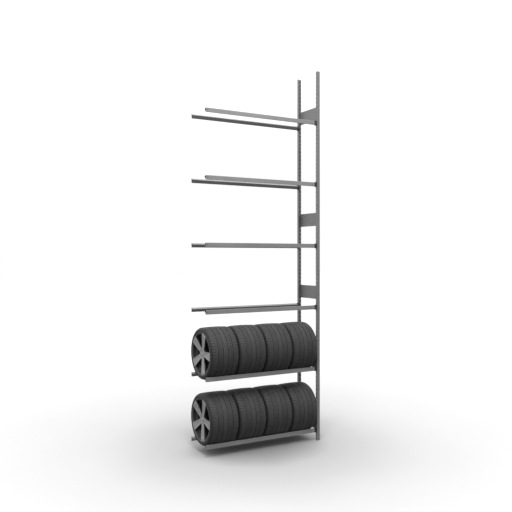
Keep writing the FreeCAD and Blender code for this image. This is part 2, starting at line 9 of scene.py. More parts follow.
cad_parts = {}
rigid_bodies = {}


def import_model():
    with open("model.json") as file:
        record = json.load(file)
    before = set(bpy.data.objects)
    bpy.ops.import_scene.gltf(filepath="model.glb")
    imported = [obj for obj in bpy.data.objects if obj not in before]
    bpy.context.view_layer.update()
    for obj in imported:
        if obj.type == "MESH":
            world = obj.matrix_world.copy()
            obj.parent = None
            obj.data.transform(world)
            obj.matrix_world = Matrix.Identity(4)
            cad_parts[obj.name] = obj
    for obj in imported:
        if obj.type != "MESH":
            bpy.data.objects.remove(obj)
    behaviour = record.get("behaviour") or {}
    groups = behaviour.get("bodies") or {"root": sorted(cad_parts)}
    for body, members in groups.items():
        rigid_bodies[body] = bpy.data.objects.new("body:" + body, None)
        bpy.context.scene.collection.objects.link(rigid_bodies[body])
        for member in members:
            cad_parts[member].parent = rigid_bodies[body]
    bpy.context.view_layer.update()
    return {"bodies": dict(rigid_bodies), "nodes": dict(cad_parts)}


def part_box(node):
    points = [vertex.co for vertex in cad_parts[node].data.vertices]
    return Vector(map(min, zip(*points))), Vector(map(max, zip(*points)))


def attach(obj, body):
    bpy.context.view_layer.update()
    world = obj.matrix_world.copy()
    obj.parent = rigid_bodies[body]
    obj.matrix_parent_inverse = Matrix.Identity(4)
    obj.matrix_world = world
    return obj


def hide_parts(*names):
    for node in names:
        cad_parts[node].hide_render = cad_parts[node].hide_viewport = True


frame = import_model()
MM = 0.001
EVEN = (1.0, 1.0, 1.0)

# ---------------------------------------------------------------- node helpers


def new_material(name, roughness, metallic=0.0, specular=0.5, coat=0.0):
    """A material with a Principled shader, and its even properties set on the shader itself."""
    material = bpy.data.materials.new(name)
    material.use_nodes = True
    shader = material.node_tree.nodes["Principled BSDF"]
    shader.inputs["Roughness"].default_value = roughness
    shader.inputs["Metallic"].default_value = metallic
    shader.inputs["Specular IOR Level"].default_value = specular
    shader.inputs["Coat Weight"].default_value = coat
    return material, material.node_tree, shader


def add_node(tree, kind, settings=None, **inputs):
    """A node with its settings, and its inputs set to numbers or linked to other nodes' sockets."""
    node = tree.nodes.new(kind)
    for name, value in (settings or {}).items():
        setattr(node, name, value)
    for name, value in inputs.items():
        socket = node.inputs[int(name[1:])] if name[1:].isdigit() else node.inputs[name.replace("_", " ")]
        if isinstance(value, bpy.types.NodeSocket):
            tree.links.new(value, socket)
        else:
            socket.default_value = value
    return node


def stretched(tree, scale):
    """The piece's own coordinates in metres, multiplied by a factor along each axis."""
    coordinates = add_node(tree, "ShaderNodeTexCoord")
    mapping = add_node(tree, "ShaderNodeMapping", Vector=coordinates.outputs["Object"])
    mapping.inputs["Scale"].default_value = scale
    return mapping.outputs["Vector"]


def noise(tree, vector, scale, detail=4.0, roughness=0.55):
    """Cloudy noise, whose scale is its waves per metre of the given coordinates."""
    node = add_node(tree, "ShaderNodeTexNoise", Vector=vector, Scale=scale, Detail=detail,
                    Roughness=roughness)
    return node.outputs["Fac"]


def spread(tree, value, low, high, to_low=0.0, to_high=1.0):
    """A value of one range mapped to another, and held inside it."""
    node = add_node(tree, "ShaderNodeMapRange", Value=value)
    for name, number in (("From Min", low), ("From Max", high), ("To Min", to_low), ("To Max", to_high)):
        node.inputs[name].default_value = number
    return node.outputs["Result"]


def math_node(tree, operation, first, second):
    """The result of one operation on two values."""
    return add_node(tree, "ShaderNodeMath", {"operation": operation}, _0=first, _1=second).outputs[0]


def blend_colours(tree, factor, first, second):
    """One colour mixed into another; each argument is a value or another node's socket."""
    node = add_node(tree, "ShaderNodeMix", {"data_type": "RGBA"})
    for socket, value in ((node.inputs["Factor"], factor), (node.inputs[6], first), (node.inputs[7], second)):
        if isinstance(value, bpy.types.NodeSocket):
            tree.links.new(value, socket)
        else:
            socket.default_value = value
    return node.outputs[2]


def ramp(tree, factor, stops):
    """A colour ramp through (place, colour) stops."""
    node = add_node(tree, "ShaderNodeValToRGB", Fac=factor)
    elements = node.color_ramp.elements
    while len(elements) < len(stops):
        elements.new(0.5)
    for element, (place, colour) in zip(elements, stops):
        element.position = place
        element.color = colour
    return node.outputs["Color"]


def grey(value, warmth=0.0):
    """A grey, or one that is a little warmer, with more red and less blue."""
    return (value * (1 + warmth), value, value * (1 - warmth), 1.0)


def worn_edges(tree, radius, low, high):
    """1 on the part's sharp edges and 0 on its flats, from how much the rounded normal turns."""
    rounded = add_node(tree, "ShaderNodeBevel", {"samples": 4}, Radius=radius)
    true = add_node(tree, "ShaderNodeNewGeometry")
    turn = add_node(tree, "ShaderNodeVectorMath", {"operation": "DOT_PRODUCT"},
                    _0=rounded.outputs["Normal"], _1=true.outputs["Normal"])
    return spread(tree, turn.outputs["Value"], high, low)


def bump(tree, shader, height, strength, distance):
    """Fine relief on the shader, whose full height is the distance in metres."""
    node = add_node(tree, "ShaderNodeBump", Height=height, Strength=strength, Distance=distance)
    tree.links.new(node.outputs["Normal"], shader.inputs["Normal"])


# ---------------------------------------------------------------- materials


def galvanised_steel():
    """Roll-formed pre-galvanised posts: faint spangle, rolling streaks up the post, bright worn edges."""
    material, tree, shader = new_material("galvanised_post_steel", 0.5, metallic=0.35, specular=0.4)
    along = stretched(tree, (1.0, 1.0, 0.06))
    streaks = noise(tree, along, 260.0, 5.0)
    cloud = noise(tree, stretched(tree, (1.0, 1.0, 0.4)), 3.5, 3.0)
    cells = add_node(tree, "ShaderNodeTexVoronoi", Vector=stretched(tree, (1.0, 1.0, 0.7)), Scale=85.0)
    spangle = add_node(tree, "ShaderNodeSeparateColor", Color=cells.outputs["Color"]).outputs["Red"]
    base = ramp(tree, spread(tree, cloud, 0.3, 0.7), [(0.0, grey(0.118)), (1.0, grey(0.146))])
    base = blend_colours(tree, 0.22, base, ramp(tree, streaks, [(0.35, grey(0.088)), (0.65, grey(0.18))]))
    base = blend_colours(tree, 0.12, base, ramp(tree, spangle, [(0.0, grey(0.08)), (1.0, grey(0.2))]))
    edges = math_node(tree, "MULTIPLY", worn_edges(tree, 1.2 * MM, 0.75, 0.98),
                      spread(tree, streaks, 0.42, 0.6))
    base = blend_colours(tree, edges, base, grey(0.27))
    tree.links.new(base, shader.inputs["Base Color"])
    tree.links.new(spread(tree, spangle, 0.0, 1.0, 0.42, 0.58), shader.inputs["Roughness"])
    bump(tree, shader, streaks, 0.12, 0.2 * MM)
    return material


def painted_steel():
    """Powder-coated beams: orange peel, light scuffs along the beam and rubbed corners."""
    material, tree, shader = new_material("powder_coated_beam_steel", 0.5, specular=0.4)
    peel = noise(tree, stretched(tree, EVEN), 520.0, 2.0)
    cloud = noise(tree, stretched(tree, (0.5, 1.0, 1.0)), 7.0, 4.0)
    scuffs = noise(tree, stretched(tree, (0.05, 1.0, 1.0)), 420.0, 6.0, 0.7)
    base = ramp(tree, spread(tree, cloud, 0.3, 0.7), [(0.0, grey(0.125)), (1.0, grey(0.152))])
    base = blend_colours(tree, spread(tree, scuffs, 0.6, 0.72, 0.0, 0.35), base, grey(0.23))
    edges = math_node(tree, "MULTIPLY", worn_edges(tree, 1.5 * MM, 0.7, 0.97),
                      spread(tree, cloud, 0.4, 0.62))
    base = blend_colours(tree, edges, base, grey(0.27))
    tree.links.new(base, shader.inputs["Base Color"])
    tree.links.new(spread(tree, scuffs, 0.35, 0.7, 0.42, 0.6), shader.inputs["Roughness"])
    bump(tree, shader, peel, 0.2, 0.15 * MM)
    return material


def zinc(name, dark, bright, roughness):
    """Electroplated zinc: a cloudy bright grey with fine brushing and rubbed corners."""
    material, tree, shader = new_material(name, roughness, metallic=0.75)
    cloud = noise(tree, stretched(tree, EVEN), 60.0, 5.0)
    fine = noise(tree, stretched(tree, (1.0, 1.0, 0.2)), 900.0, 3.0)
    base = ramp(tree, spread(tree, cloud, 0.3, 0.7), [(0.0, grey(dark, 0.02)), (1.0, grey(bright))])
    base = blend_colours(tree, worn_edges(tree, 0.6 * MM, 0.75, 0.98), base, grey(bright * 1.6))
    tree.links.new(base, shader.inputs["Base Color"])
    tree.links.new(spread(tree, fine, 0.3, 0.7, roughness - 0.08, roughness + 0.1),
                   shader.inputs["Roughness"])
    bump(tree, shader, fine, 0.15, 0.1 * MM)
    return material


def moulded_plastic(name, dark, bright, roughness):
    """Injection-moulded plastic with a fine eroded grain, a cloudy tone and lighter rubbed edges."""
    material, tree, shader = new_material(name, roughness)
    grain = noise(tree, stretched(tree, EVEN), 1400.0, 2.0)
    cloud = noise(tree, stretched(tree, EVEN), 40.0, 4.0)
    base = ramp(tree, spread(tree, cloud, 0.3, 0.7), [(0.0, grey(dark)), (1.0, grey(bright))])
    base = blend_colours(tree, worn_edges(tree, 0.8 * MM, 0.7, 0.97), base, grey(bright * 1.8))
    tree.links.new(base, shader.inputs["Base Color"])
    tree.links.new(spread(tree, cloud, 0.3, 0.7, roughness - 0.06, roughness + 0.08),
                   shader.inputs["Roughness"])
    bump(tree, shader, grain, 0.25, 0.1 * MM)
    return material


CROWN_WEAR = (289 * MM, 294.5 * MM)        # from this radius outwards the tread is dusty
SERRATION_BAND = (266 * MM, 277 * MM)      # the ring of fine serrations on the tyre's side
SERRATIONS = 360
LIP_R = 241.5 * MM                         # from here outwards the rim's paint is rubbed grey


def axle_distance(tree, own):
    """How far a wheel's surface is from its own axle, the x axis."""
    flat = add_node(tree, "ShaderNodeVectorMath", {"operation": "MULTIPLY"}, _0=own, _1=(0.0, 1.0, 1.0))
    return add_node(tree, "ShaderNodeVectorMath", {"operation": "LENGTH"},
                    _0=flat.outputs["Vector"]).outputs["Value"]


def tyre_rubber():
    """Vulcanised rubber: a dusty crown, darker grooves and a ring of serrations on the side."""
    material, tree, shader = new_material("tyre_rubber", 0.62, specular=0.35)
    own = stretched(tree, EVEN)
    parts = add_node(tree, "ShaderNodeSeparateXYZ", Vector=own)
    radius = axle_distance(tree, own)
    dust = noise(tree, own, 24.0, 6.0, 0.65)
    fine = noise(tree, own, 700.0, 3.0)
    worn = spread(tree, radius, *CROWN_WEAR)
    base = ramp(tree, spread(tree, dust, 0.35, 0.68), [(0.0, grey(0.008)), (1.0, grey(0.014))])
    crown = ramp(tree, spread(tree, dust, 0.35, 0.68), [(0.0, grey(0.021)), (1.0, grey(0.035))])
    base = blend_colours(tree, worn, base, crown)
    angle = math_node(tree, "ARCTAN2", parts.outputs["Z"], parts.outputs["Y"])
    serration = math_node(tree, "SINE", math_node(tree, "MULTIPLY", angle, float(SERRATIONS)), 0.0)
    inner, outer = SERRATION_BAND
    band = math_node(tree, "MULTIPLY", spread(tree, radius, inner - 0.5 * MM, inner + 0.5 * MM),
                     spread(tree, radius, outer + 0.5 * MM, outer - 0.5 * MM))
    ribs = math_node(tree, "MULTIPLY", serration, band)
    tree.links.new(base, shader.inputs["Base Color"])
    tree.links.new(spread(tree, dust, 0.35, 0.68, 0.52, 0.74), shader.inputs["Roughness"])
    relief = math_node(tree, "ADD", math_node(tree, "MULTIPLY", fine, 0.35), ribs)
    bump(tree, shader, relief, 0.5, 0.35 * MM)
    return material


def silver_alloy():
    """Painted wheel silver: metallic flake, a clear coat and patches of brake dust."""
    material, tree, shader = new_material("wheel_silver", 0.42, metallic=0.45, coat=0.25)
    shader.inputs["Coat Roughness"].default_value = 0.25
    own = stretched(tree, EVEN)
    flake = noise(tree, own, 1600.0, 2.0, 0.7)
    dust = noise(tree, own, 30.0, 5.0, 0.6)
    base = ramp(tree, flake, [(0.3, grey(0.185, 0.01)), (0.7, grey(0.25, 0.01))])
    base = blend_colours(tree, spread(tree, dust, 0.5, 0.75, 0.0, 0.45), base, grey(0.13, 0.03))
    base = blend_colours(tree, worn_edges(tree, 1.5 * MM, 0.7, 0.97), base, grey(0.34, 0.01))
    tree.links.new(base, shader.inputs["Base Color"])
    tree.links.new(spread(tree, flake, 0.3, 0.7, 0.36, 0.5), shader.inputs["Roughness"])
    bump(tree, shader, flake, 0.1, 0.08 * MM)
    return material


def black_paint_and_barrel_shade():
    """Satin black: on the barrel it is painted shade, for the shade deep inside the wheel; on the spokes'
    backs and sides it is the wheel's black paint. Dusty in the drop centre and rubbed grey on the lip.
    """
    material, tree, shader = new_material("barrel_black", 0.55, metallic=0.1)
    own = stretched(tree, EVEN)
    dust = noise(tree, own, 45.0, 5.0, 0.6)
    # near-black: painted shade on the barrel, black paint on the spokes' backs and sides
    base = ramp(tree, spread(tree, dust, 0.35, 0.7), [(0.0, grey(0.012)), (1.0, grey(0.028, 0.03))])
    lip = spread(tree, axle_distance(tree, own), LIP_R - 0.3 * MM, LIP_R + 0.3 * MM)
    base = blend_colours(tree, lip, base, ramp(tree, dust, [(0.3, grey(0.08)), (0.7, grey(0.12))]))
    tree.links.new(base, shader.inputs["Base Color"])
    tree.links.new(spread(tree, dust, 0.35, 0.7, 0.48, 0.7), shader.inputs["Roughness"])
    bump(tree, shader, noise(tree, own, 900.0, 2.0), 0.15, 0.1 * MM)
    return material


# ---------------------------------------------------------------- wheel meshes
# Wheels are built about their own axle, which runs along x, with the visible face at -x.

RIM_SIDE = 173.5 * MM          # the rim's edge, from the wheel's middle
CROWN = 300 * MM               # the tyre's radius in its middle
CROWN_FALL = 4 * MM            # how much lower the tread is at the shoulder
SHOULDER_X = 136 * MM          # where the shoulder's rounding starts
SHOULDER_DROP = 30 * MM        # and how far it comes down
SIDE_X = 174.6 * MM            # the side, below the shoulder
CARCASS_R = 287 * MM           # the tyre's inner wall under the tread
PITCHES = 56                   # repeats of the tread round the tyre
STEPS = 144                    # facets round the barrel


def ring(bm, profile, angle, lean=()):
    """The vertices of an (x, radius) profile, stood at an angle round the axle; lean turns each more."""
    angles = [angle + extra for extra in lean] if lean else [angle] * len(profile)
    return [bm.verts.new((x, -r * math.sin(a), r * math.cos(a))) for (x, r), a in zip(profile, angles)]


def join_rings(bm, rings, closed=True):
    """Quads between each ring and the next, the last and the first too."""
    for near, far in zip(rings, rings[1:] + rings[:1]):
        count = len(near) if closed else len(near) - 1
        for low in range(count):
            high = (low + 1) % len(near)
            bm.faces.new((near[low], near[high], far[high], far[low]))


def finished(bm, name, sharp_degrees=32.0):
    """A mesh with its normals outwards, smooth but for its sharp edges."""
    bmesh.ops.recalc_face_normals(bm, faces=bm.faces)
    mesh = bpy.data.meshes.new(name)
    bm.to_mesh(mesh)
    bm.free()
    mesh.shade_smooth()
    mesh.set_sharp_from_angle(angle=math.radians(sharp_degrees))
    return mesh


def mirrored(half):
    """The rows of the right half of a profile, after their mirror images on the left."""
    left = [(-row[0], *row[1:]) for row in reversed(half) if row[0] > 0]
    return left + half


def tread_rows():
    """Rows of the tread from the middle outwards: x, depth below the crown, and kind of notch."""
    rows = [(0, 0, ""), (10.8, 0, ""), (11, 3, ""), (13, 3, ""), (13.2, 0, ""), (14, 0, "sipe"),
            (26, 0, "sipe"), (27, 0, ""), (27.8, 8, ""), (34.2, 8, ""), (35, 0, ""), (36, 0, "sipe"),
            (46, 0, "sipe"), (47, 0, ""), (47.2, 3, ""), (49, 3, ""), (49.2, 0, ""), (50, 0, "sipe"),
            (61, 0, "sipe"), (61.8, 0, ""), (62, 4, ""), (64, 4, ""), (64.2, 0, ""), (65, 0, "bar"),
            (76, 0, "bar"), (77, 0, ""), (77.2, 3, ""), (79, 3, ""), (79.2, 0, ""), (80, 0, "sipe"),
            (88, 0, "sipe"), (89, 0, ""), (89.8, 8, ""), (96.2, 8, ""), (97, 0, ""), (98, 0, "sipe"),
            (108, 0, "sipe"), (108.8, 0, ""), (109, 3, ""), (111, 3, ""), (111.2, 0, ""),
            (112, 0, "sipe"), (121.5, 0, "sipe"), (122.8, 0, ""), (123, 3.5, ""), (125.2, 3.5, ""),
            (125.4, 0, ""), (128, 0, ""), (128.6, 0, "bar"), (SHOULDER_X / MM, 0, "bar")]
    fall = CROWN_FALL / SHOULDER_X ** 2
    return [(x * MM, CROWN - depth * MM - fall * (x * MM) ** 2, notch) for x, depth, notch in rows]


def shoulder_rows():
    """The rounded shoulder, whose notches fade out towards the side."""
    rows = []
    low = CROWN - CROWN_FALL - SHOULDER_DROP
    for degrees, notch in ((78, "bar"), (66, "bar"), (54, "bar"), (44, "bar"), (37, "half"), (35, ""),
                           (26, ""), (17, ""), (8, ""), (0, "")):
        turn = math.radians(degrees)
        x = SHOULDER_X + (SIDE_X - SHOULDER_X) * math.cos(turn)
        rows.append((x, low + SHOULDER_DROP * math.sin(turn), notch))
    return rows


def side_rows():
    """The side down to the rim's flange, with a mould ring and a rim protector."""
    points = [(174.8, 265.2), (175.4, 264.7), (175.4, 262.9), (174.8, 262.4), (175.0, 259.5), (174.7, 256.6),
              (175.4, 255.8), (175.4, 252.4), (174.3, 250.4), (173.6, 246.8), (166.2, 246.6),
              (166.2, 232.3), (148.2, 232.3), (149, 238), (158, 247), (164.5, 262), (160, 278),
              (140, CARCASS_R / MM)]
    return [(x * MM, r * MM, "") for x, r in points]


# Columns of one pitch of the tread: place in the pitch, and the kinds of notch whose floor it is.
COLUMNS = ((0.0, ()), (0.03, ("bar", "half")), (0.2, ("bar", "half")), (0.23, ()),
           (0.5, ()), (0.515, ("sipe",)), (0.555, ("sipe",)), (0.57, ()))
NOTCH_DEPTH = {"bar": 6 * MM, "half": 2.5 * MM, "sipe": 3.5 * MM}
LEAN = 0.3                     # how far a notch runs round the tyre, for its length across it


def tyre_mesh():
    """A carcass with ribs, main and fine grooves, leaning sipes and shoulder bars."""
    rows = mirrored(tread_rows() + shoulder_rows() + side_rows())
    rows.append((0.0, CARCASS_R, ""))
    lean = [LEAN * min(abs(x), SHOULDER_X) / CROWN for x, _, _ in rows]
    bm = bmesh.new()
    rings = []
    for pitch in range(PITCHES):
        for place, notches in COLUMNS:
            profile = [(x, r - (NOTCH_DEPTH[notch] if notch in notches else 0.0)) for x, r, notch in rows]
            rings.append(ring(bm, profile, math.tau * (pitch + place) / PITCHES, lean))
    join_rings(bm, rings)
    return finished(bm, "tyre")


def barrel_mesh():
    """A rolled barrel with drop centre, seats, rounded flanges and a step for the spokes' ends."""
    half = [(0, 206), (117, 206), (121, 208), (135.5, 228), (139.5, 231.6), (150, 232), (164.5, 232),
            (166.2, 233.4), (166.5, 236), (166.5, 243.6), (167.4, 245.4), (169.6, 246), (171.9, 245.8),
            (173.1, 245.0), (173.5, 243.8), (173.3, 242.5), (172.2, 241.8), (170.2, 241.6),
            (169.3, 241.0), (169.3, 226.6), (168.4, 225.0), (166, 224.2), (137.5, 224), (134.6, 221.6),
            (119, 201), (115.5, 198)]
    profile = mirrored([(x * MM, r * MM) for x, r in half]) + [(0.0, 198 * MM)]
    bm = bmesh.new()
    join_rings(bm, [ring(bm, profile, math.tau * step / STEPS) for step in range(STEPS)])
    return finished(bm, "barrel")


# The cast centre's flat outline, in the wheel's plane. Its spokes are a little slimmer than in CAD.
SPOKES = 5
HUB_R = 62 * MM
BARREL_R = 223.9 * MM
SPOKE_END_R = 241 * MM
ROOT_AT, ROOT_HALF = 45 * MM, 27 * MM      # a spoke's half-width near the hub, and where it is measured
TIP_AT, TIP_HALF = 226 * MM, 48 * MM       # the same near the rim
ROOT_FILLET = 9 * MM
FILLET_STEPS, SIDE_STEPS, END_STEPS = 8, 26, 14
LUG_CIRCLE, LUG_R, BORE_R = 46 * MM, 7 * MM, 32 * MM
LUG_ROUNDING, BORE_ROUNDING, EDGE_ROUNDING = 1.6 * MM, 1.2 * MM, 2.2 * MM
# Its relief: how far the hub is sunk, the radii of the dish, and the sunk panel in each spoke.
HUB_RECESS = 20 * MM
DISH_FROM, DISH_TO = 45 * MM, 216 * MM
PANEL_DEPTH = 2.6 * MM
PANEL_MARGIN = (9 * MM, 13 * MM)
PANEL_START = (78 * MM, 96 * MM)
PANEL_END = (198 * MM, 208 * MM)
# Its thickness: even along the spokes, deeper at the hub and thin where the ends lie on the rim.
SPOKE_DEPTH, HUB_DEPTH, END_DEPTH = 28 * MM, 60 * MM, 3.9 * MM
HUB_FALL = (58 * MM, 84 * MM)
SPOKE_TAPER = 22 * MM
GRID = 6.5 * MM                            # spacing of the mesh's inner points
CENTRE = Vector((0.0, 0.0))


def spoke_edge(radius):
    """The point of a spoke's edge that is this far from the axle; the spoke lies along +v."""
    flare = (TIP_HALF - ROOT_HALF) / (TIP_AT - ROOT_AT)
    v = radius
    for _ in range(12):
        u = ROOT_HALF + (v - ROOT_AT) * flare
        v = math.sqrt(radius ** 2 - u ** 2)
    return Vector((u, v))


def curve_points(start, corner, end, steps):
    """A corner rounded off from start to end by a quadratic curve."""
    spots = [step / steps for step in range(steps + 1)]
    return [start * (1 - t) ** 2 + corner * 2 * t * (1 - t) + end * t ** 2 for t in spots]


def circle_loop(centre, radius, steps):
    """An anticlockwise circle of even steps."""
    turns = [math.tau * step / steps for step in range(steps)]
    return [centre + Vector((math.cos(a), math.sin(a))) * radius for a in turns]


def star_outline():
    """The cast centre's outer edge, anticlockwise: an opening, then a spoke's end, five times."""
    turn = Matrix.Rotation(math.pi / SPOKES, 2)
    inner, outer = turn @ spoke_edge(HUB_R), turn @ spoke_edge(SPOKE_END_R)
    along = (outer - inner).normalized()
    half = curve_points(Vector((0.0, HUB_R)), inner, inner + along * ROOT_FILLET, FILLET_STEPS)
    start = half[-1]
    half += [start.lerp(outer, step / SIDE_STEPS) for step in range(1, SIDE_STEPS + 1)]
    notch = [Vector((-point.x, point.y)) for point in reversed(half)] + half[1:]
    end_from = math.atan2(-outer.x, outer.y)
    end_to = math.tau / SPOKES - end_from
    for step in range(1, END_STEPS):
        angle = end_from + (end_to - end_from) * step / END_STEPS
        notch.append(Vector((-math.sin(angle), math.cos(angle))) * SPOKE_END_R)
    outline = []
    for spoke in range(SPOKES):
        facing = Matrix.Rotation((spoke + 0.5) * math.tau / SPOKES, 2)
        outline += [facing @ point for point in notch]
    return outline


def grown(loop, distance):
    """An anticlockwise loop moved outwards, square to itself; inwards if the distance is negative."""
    moved = []
    for before, point, after in zip(loop[-1:] + loop[:-1], loop, loop[1:] + loop[:1]):
        side = (after - before).normalized()
        moved.append(point + Vector((side.y, -side.x)) * distance)
    return moved


def distances(points, loop):
    """How far each point is from a loop's nearest side."""
    starts = np.array(loop)
    sides = np.roll(starts, -1, axis=0) - starts
    offset = points[:, None, :] - starts[None, :, :]
    share = np.clip((offset * sides).sum(-1) / (sides ** 2).sum(-1), 0, 1)
    return np.linalg.norm(offset - share[..., None] * sides, axis=-1).min(1)


def inside(points, loop):
    """Whether each point is inside a loop, by its crossings of a ray."""
    x, y = points[:, 0], points[:, 1]
    crossings = np.zeros(len(points), int)
    for a, b in zip(loop, loop[1:] + loop[:1]):
        spans = (a.y > y) != (b.y > y)
        height = b.y - a.y if b.y != a.y else 1.0
        crossings += spans & (x < a.x + (y - a.y) / height * (b.x - a.x))
    return crossings % 2 == 1


def smooth(value, low, high):
    """0 below low and 1 above high, with an S curve between."""
    share = np.clip((value - low) / (high - low), 0, 1)
    return share * share * (3 - 2 * share)


def centre_holes():
    """The bolt holes and the bore of the cast centre, each with the rounding of its edge."""
    holes = [(circle_loop(CENTRE, BORE_R, 48), BORE_ROUNDING)]
    for spoke in range(SPOKES):
        bolt = Matrix.Rotation(spoke * math.tau / SPOKES, 2) @ Vector((0.0, LUG_CIRCLE))
        holes.append((circle_loop(bolt, LUG_R, 24), LUG_ROUNDING))
    return holes


def front_height(points, outline, holes):
    """How far the visible face lies behind the rim's edge: dish, panels in the spokes, roundings."""
    radius = np.linalg.norm(points, axis=1)
    height = HUB_RECESS * np.clip((DISH_TO - radius) / (DISH_TO - DISH_FROM), 0, 1) ** 1.05
    for loop, rounding in [(outline, EDGE_ROUNDING)] + holes:
        share = np.clip(1 - distances(points, loop) / rounding, 0, 1)
        height = height + rounding * (1 - np.sqrt(1 - share ** 2))
    panel = smooth(distances(points, outline), *PANEL_MARGIN) * smooth(radius, *PANEL_START)
    return height + PANEL_DEPTH * panel * (1 - smooth(radius, *PANEL_END))


def back_depth(points):
    """How thick the casting is: a deep hub, even spokes, and thin ends that lie on the rim's step."""
    radius = np.linalg.norm(points, axis=1)
    spoke = END_DEPTH + (SPOKE_DEPTH - END_DEPTH) * np.clip((BARREL_R - radius) / SPOKE_TAPER, 0, 1)
    return spoke + (HUB_DEPTH - SPOKE_DEPTH) * (1 - smooth(radius, *HUB_FALL))


def inner_points(outline, holes):
    """Points inside the casting: rows along every edge for its rounding, and an even grid."""
    rows = []
    for loop, rounding in [(outline, -EDGE_ROUNDING)] + holes:
        for share in (0.3, 0.65, 1.0, 1.8):
            rows += grown(loop, rounding * share)
    rows += circle_loop(CENTRE, BARREL_R, 300) + circle_loop(CENTRE, BARREL_R - SPOKE_TAPER, 260)
    count = int(SPOKE_END_R / GRID) + 1
    row_height = GRID * 0.866
    grid = [(GRID * (column + 0.5 * (row % 2)), row_height * row)
            for row in range(-count, count + 1) for column in range(-count, count + 1)]
    candidates = np.array([tuple(point) for point in rows] + grid)
    is_grid = np.arange(len(candidates)) >= len(rows)
    keep = inside(candidates, outline)
    for loop, _ in holes:
        keep &= ~inside(candidates, loop)
    for loop, rounding in [(outline, EDGE_ROUNDING)] + holes:
        clear = np.where(is_grid, rounding * 1.8 + GRID * 0.4, rounding * 0.25)
        keep &= distances(candidates, loop) > clear
    return [Vector(point) for point in candidates[keep]]


def spokes_mesh():
    """The cast centre: flared spokes with sunk panels, dished hub, bolt holes and rounded edges.

    Its face is the first material; its back and the sides of its openings are the second.
    """
    outline, holes = star_outline(), centre_holes()
    loops = [outline] + [loop for loop, _ in holes]
    points = [point for loop in loops for point in loop] + inner_points(outline, holes)
    edges, start = [], 0
    for loop in loops:
        edges += [(start + i, start + (i + 1) % len(loop)) for i in range(len(loop))]
        start += len(loop)
    flat, _, faces, *_ = geometry.delaunay_2d_cdt(points, edges, [], 0, 1e-7)
    plane = np.array([tuple(point) for point in flat])
    centres = np.array([plane[list(face)].mean(0) for face in faces])
    solid = inside(centres, outline)
    for loop, _ in holes:
        solid &= ~inside(centres, loop)
    bm = bmesh.new()
    front = front_height(plane, outline, holes) - RIM_SIDE
    back = back_depth(plane) - RIM_SIDE
    near_verts = [bm.verts.new((x, y, z)) for x, (y, z) in zip(front, plane)]
    far_verts = [bm.verts.new((x, y, z)) for x, (y, z) in zip(back, plane)]
    for face, whole in zip(faces, solid):
        if whole:
            bm.faces.new([near_verts[i] for i in face])
            bm.faces.new([far_verts[i] for i in reversed(face)]).material_index = 1
    behind = dict(zip(near_verts, far_verts))
    for edge in [edge for edge in bm.edges if edge.is_boundary and edge.verts[0] in behind]:
        a, b = edge.verts
        bm.faces.new((a, b, behind[b], behind[a])).material_index = 1
    bmesh.ops.delete(bm, geom=[vert for vert in bm.verts if not vert.link_faces], context="VERTS")
    return finished(bm, "spokes", 40.0)


def lathed(name, profile, steps, wave=0.0, waved=()):
    """A turned solid on the x axis, its two ends closed; every other step of the waved rows is sunk."""
    bm = bmesh.new()
    rings = []
    for step in range(steps):
        shift = wave if step % 2 else 0.0
        rows = [(x, r - shift if index in waved else r) for index, (x, r) in enumerate(profile)]
        rings.append(ring(bm, rows, math.tau * step / steps))
    join_rings(bm, rings, closed=False)
    bm.faces.new([row[0] for row in rings])
    bm.faces.new([row[-1] for row in rings])
    return finished(bm, name)


def cap_mesh():
    """A centre cap: raised edge, turned channel and a shallow dome."""
    front = -RIM_SIDE + HUB_RECESS
    rows = [(-2.6, 0.4), (-2.5, 6), (-1.9, 14), (-0.9, 20), (0.0, 22.5), (0.6, 23.6), (0.7, 25.2),
            (-1.4, 26.2), (-2.4, 27.6), (-2.2, 29.2), (-0.8, 30.9), (0.8, 31.6), (5.5, 31.7), (6, 31),
            (6, 0.4)]
    return lathed("centre_cap", [(front + x * MM, r * MM) for x, r in rows], 72)


VALVE_R = 212 * MM             # the valve's distance from the axle
VALVE_INSET = 14 * MM          # how far inside the rim's edge its cap starts
RIB_DEPTH = 0.35 * MM
RIBBED_ROWS = (2, 3, 4)


def valve_mesh():
    """A valve stem with its ribbed screw cap, about its own axis, starting at x = 0."""
    rows = [(0, 0.6), (0.2, 3.4), (0.9, 4.6), (1.6, 5.0), (10.2, 5.0), (11, 4.4), (11.2, 3.2), (14, 3.2),
            (14.4, 4.0), (34, 4.0), (38, 4.0), (44, 4.0), (44, 0.6)]
    return lathed("valve", [(x * MM, r * MM) for x, r in rows], 36, RIB_DEPTH, RIBBED_ROWS)


def middle(box):
    """The middle of a box given by its two corners."""
    low, high = box
    return (low + high) / 2


def wheel_place(wheel):
    """Where a wheel's axle is and how far the wheel is rolled, from its CAD tyre and valve."""
    axle = middle(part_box(f"{wheel}_tyre"))
    valve = middle(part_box(f"{wheel}_valve")) - axle
    roll = math.atan2(-valve.y, valve.z) - math.pi / SPOKES
    return axle, Matrix.Rotation(roll, 4, "X")


def add_piece(name, mesh, turn, axle, body, node):
    """A wheel's piece, which stands for the CAD node of its name where there is one.

    The wheel's turn is in its mesh, so that the piece's box along the axes is as small as the piece.
    """
    turned = mesh.copy()
    turned.transform(turn)
    piece = bpy.data.objects.new(name, turned)
    bpy.context.scene.collection.objects.link(piece)
    piece.location = axle
    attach(piece, body)
    if node in frame["nodes"]:
        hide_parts(node)


